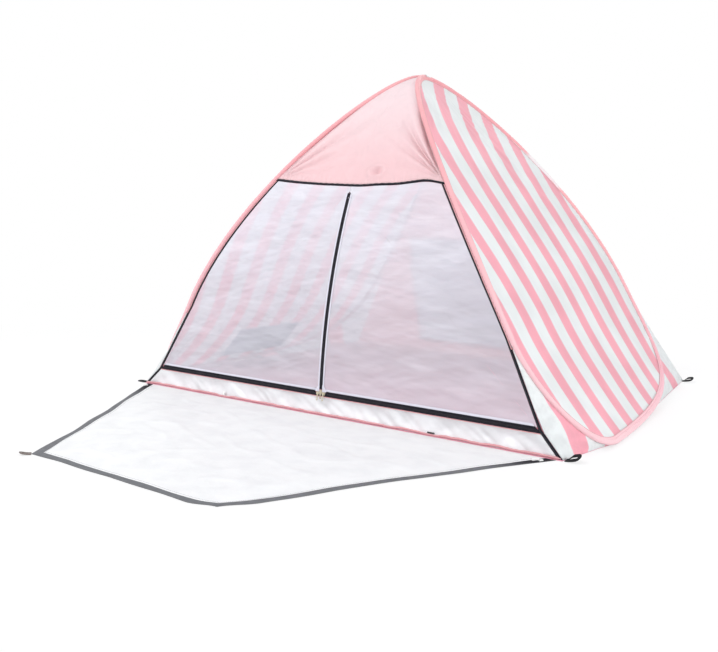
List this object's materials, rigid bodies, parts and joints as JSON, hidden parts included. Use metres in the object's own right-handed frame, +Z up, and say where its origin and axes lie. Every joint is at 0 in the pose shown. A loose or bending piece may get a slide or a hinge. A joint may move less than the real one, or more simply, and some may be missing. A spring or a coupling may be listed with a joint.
{
  "type": "pop-up beach tent",
  "caption": "Pop-up beach tent with two sprung wire hoops, striped sides, a zipped mesh door in two leaves, a fold-down porch and a covered rear window.",
  "frame": {"origin": "middle of the underside of the floor", "axes": "+Z up, +Y from the door towards the rear window, +X to the right seen from the front"},
  "size_m": [1.796, 2.306, 1.1793],
  "materials": {
    "pink_cloth": "light pink woven polyester, matt",
    "striped_cloth": "pink and white striped polyester, matt",
    "silver_cloth": "silver-white coated polyester, satin",
    "floor_cloth": "pink coated groundsheet, satin",
    "door_mesh": "fine white mosquito net",
    "black_zip": "black woven zip tape with a plastic coil",
    "grey_zip": "grey woven zip tape with a plastic coil",
    "white_tape": "white binding tape",
    "black_webbing": "black woven webbing",
    "grey_pocket": "blue-grey polyester seen through the mesh",
    "spring_steel": "spring steel wire and crimped ferrule",
    "silver_metal": "die-cast zip slider, bright",
    "white_plastic": "white moulded plastic",
    "black_plastic": "black moulded plastic"
  },
  "bodies": {
    "tent": {"apex_patch": "white_tape", "bottom_zip_lower_tape": "black_zip", "floor_sheet": "floor_cloth", "front_left_loop": "black_webbing", "front_piping": "pink_cloth", "front_right_loop": "black_webbing", "front_sill": "silver_cloth", "hood_panel": "pink_cloth", "left_fixed_mesh": "door_mesh", "left_foot_sleeve": "pink_cloth", "left_front_gusset": "silver_cloth", "left_front_sleeve": "pink_cloth", "left_hoop_ferrule": "spring_steel", "left_hoop_wire": "spring_steel", "left_porch_tab": "white_tape", "left_rear_gusset": "silver_cloth", "left_rear_sleeve": "pink_cloth", "left_side_panel": "striped_cloth", "opening_zip_tape_left": "black_zip", "opening_zip_tape_right": "black_zip", "opening_zip_tape_top": "black_zip", "rear_left_loop": "black_webbing", "rear_panel": "silver_cloth", "rear_right_loop": "black_webbing", "rear_window_mesh": "door_mesh", "right_fixed_mesh": "door_mesh", "right_foot_sleeve": "pink_cloth", "right_front_gusset": "silver_cloth", "right_front_sleeve": "pink_cloth", "right_hoop_ferrule": "spring_steel", "right_hoop_wire": "spring_steel", "right_porch_toggle": "black_plastic", "right_rear_gusset": "silver_cloth", "right_rear_sleeve": "pink_cloth", "right_side_panel": "striped_cloth", "storage_pocket": "grey_pocket", "window_tie_ring": "white_plastic"},
    "porch": {"porch_sheet": "silver_cloth", "porch_zip_tape": "grey_zip", "porch_corner_loop": "black_webbing"},
    "left_door_leaf": {"left_mesh_leaf": "door_mesh", "left_centre_zip_tape": "black_zip", "left_bottom_zip_tape": "black_zip"},
    "right_door_leaf": {"right_mesh_leaf": "door_mesh", "right_centre_zip_tape": "black_zip", "right_bottom_zip_tape": "black_zip"},
    "window_cover": {"rear_window_cover": "silver_cloth"},
    "centre_slider": {"centre_slider": "silver_metal"},
    "centre_pull": {"centre_pull": "silver_metal"},
    "bottom_left_slider": {"bottom_left_slider": "silver_metal"},
    "bottom_left_pull": {"bottom_left_pull": "silver_metal"},
    "bottom_right_slider": {"bottom_right_slider": "silver_metal"},
    "bottom_right_pull": {"bottom_right_pull": "silver_metal"},
    "porch_left_slider": {"porch_left_slider": "white_plastic"},
    "porch_left_pull": {"porch_left_pull": "white_plastic"},
    "porch_right_slider": {"porch_right_slider": "white_plastic"},
    "porch_right_pull": {"porch_right_pull": "white_plastic"}
  },
  "joints": [
    {"name": "porch_fold", "type": "hinge", "parent": "tent", "child": "porch", "pos_m": [0, -0.73, 0.001], "axis": [-1, 0, 0], "range_deg": [0, 94]},
    {"name": "left_leaf_swing", "type": "hinge", "parent": "tent", "child": "left_door_leaf", "pos_m": [0, -0.56775, 0.725], "axis": [0.7439, 0.1414, 0.6531], "range_deg": [0, 100]},
    {"name": "right_leaf_swing", "type": "hinge", "parent": "tent", "child": "right_door_leaf", "pos_m": [0, -0.56775, 0.725], "axis": [0.7439, -0.1414, -0.6531], "range_deg": [0, 100]},
    {"name": "window_cover_lift", "type": "hinge", "parent": "tent", "child": "window_cover", "pos_m": [0, 0.571, 0.57], "axis": [1, 0, 0], "range_deg": [0, 135]},
    {"name": "centre_slider_run", "type": "hinge", "parent": "tent", "child": "centre_slider", "pos_m": [0, 1.17793, 0.00431], "axis": [-1, 0, 0], "range_deg": [0, 19.96]},
    {"name": "bottom_left_slider_run", "type": "slide", "parent": "tent", "child": "bottom_left_slider", "axis": [-1, 0, 0], "range_m": [0, 0.72]},
    {"name": "bottom_right_slider_run", "type": "slide", "parent": "tent", "child": "bottom_right_slider", "axis": [1, 0, 0], "range_m": [0, 0.72]},
    {"name": "porch_left_slider_run", "type": "slide", "parent": "porch", "child": "porch_left_slider", "axis": [0.5075, -0.8616, 0], "range_m": [0, 0.8]},
    {"name": "porch_right_slider_run", "type": "slide", "parent": "porch", "child": "porch_right_slider", "axis": [-0.5075, -0.8616, 0], "range_m": [0, 0.8]},
    {"name": "centre_pull_swing", "type": "hinge", "parent": "centre_slider", "child": "centre_pull", "pos_m": [0, -0.71311, 0.07501], "axis": [-1, 0, 0], "range_deg": [0, 165]},
    {"name": "bottom_left_pull_swing", "type": "hinge", "parent": "bottom_left_slider", "child": "bottom_left_pull", "pos_m": [-0.0113, -0.7133, 0.06961], "axis": [-1, 0, 0], "range_deg": [0, 165]},
    {"name": "bottom_right_pull_swing", "type": "hinge", "parent": "bottom_right_slider", "child": "bottom_right_pull", "pos_m": [0.0113, -0.7133, 0.06961], "axis": [-1, 0, 0], "range_deg": [0, 165]},
    {"name": "porch_left_pull_swing", "type": "hinge", "parent": "porch_left_slider", "child": "porch_left_pull", "pos_m": [-0.77497, -0.76834, 0.006], "axis": [-0.8616, -0.5075, 0], "range_deg": [0, 175]},
    {"name": "porch_right_pull_swing", "type": "hinge", "parent": "porch_right_slider", "child": "porch_right_pull", "pos_m": [0.77497, -0.76834, 0.006], "axis": [-0.8616, 0.5075, 0], "range_deg": [0, 175]}
  ]
}
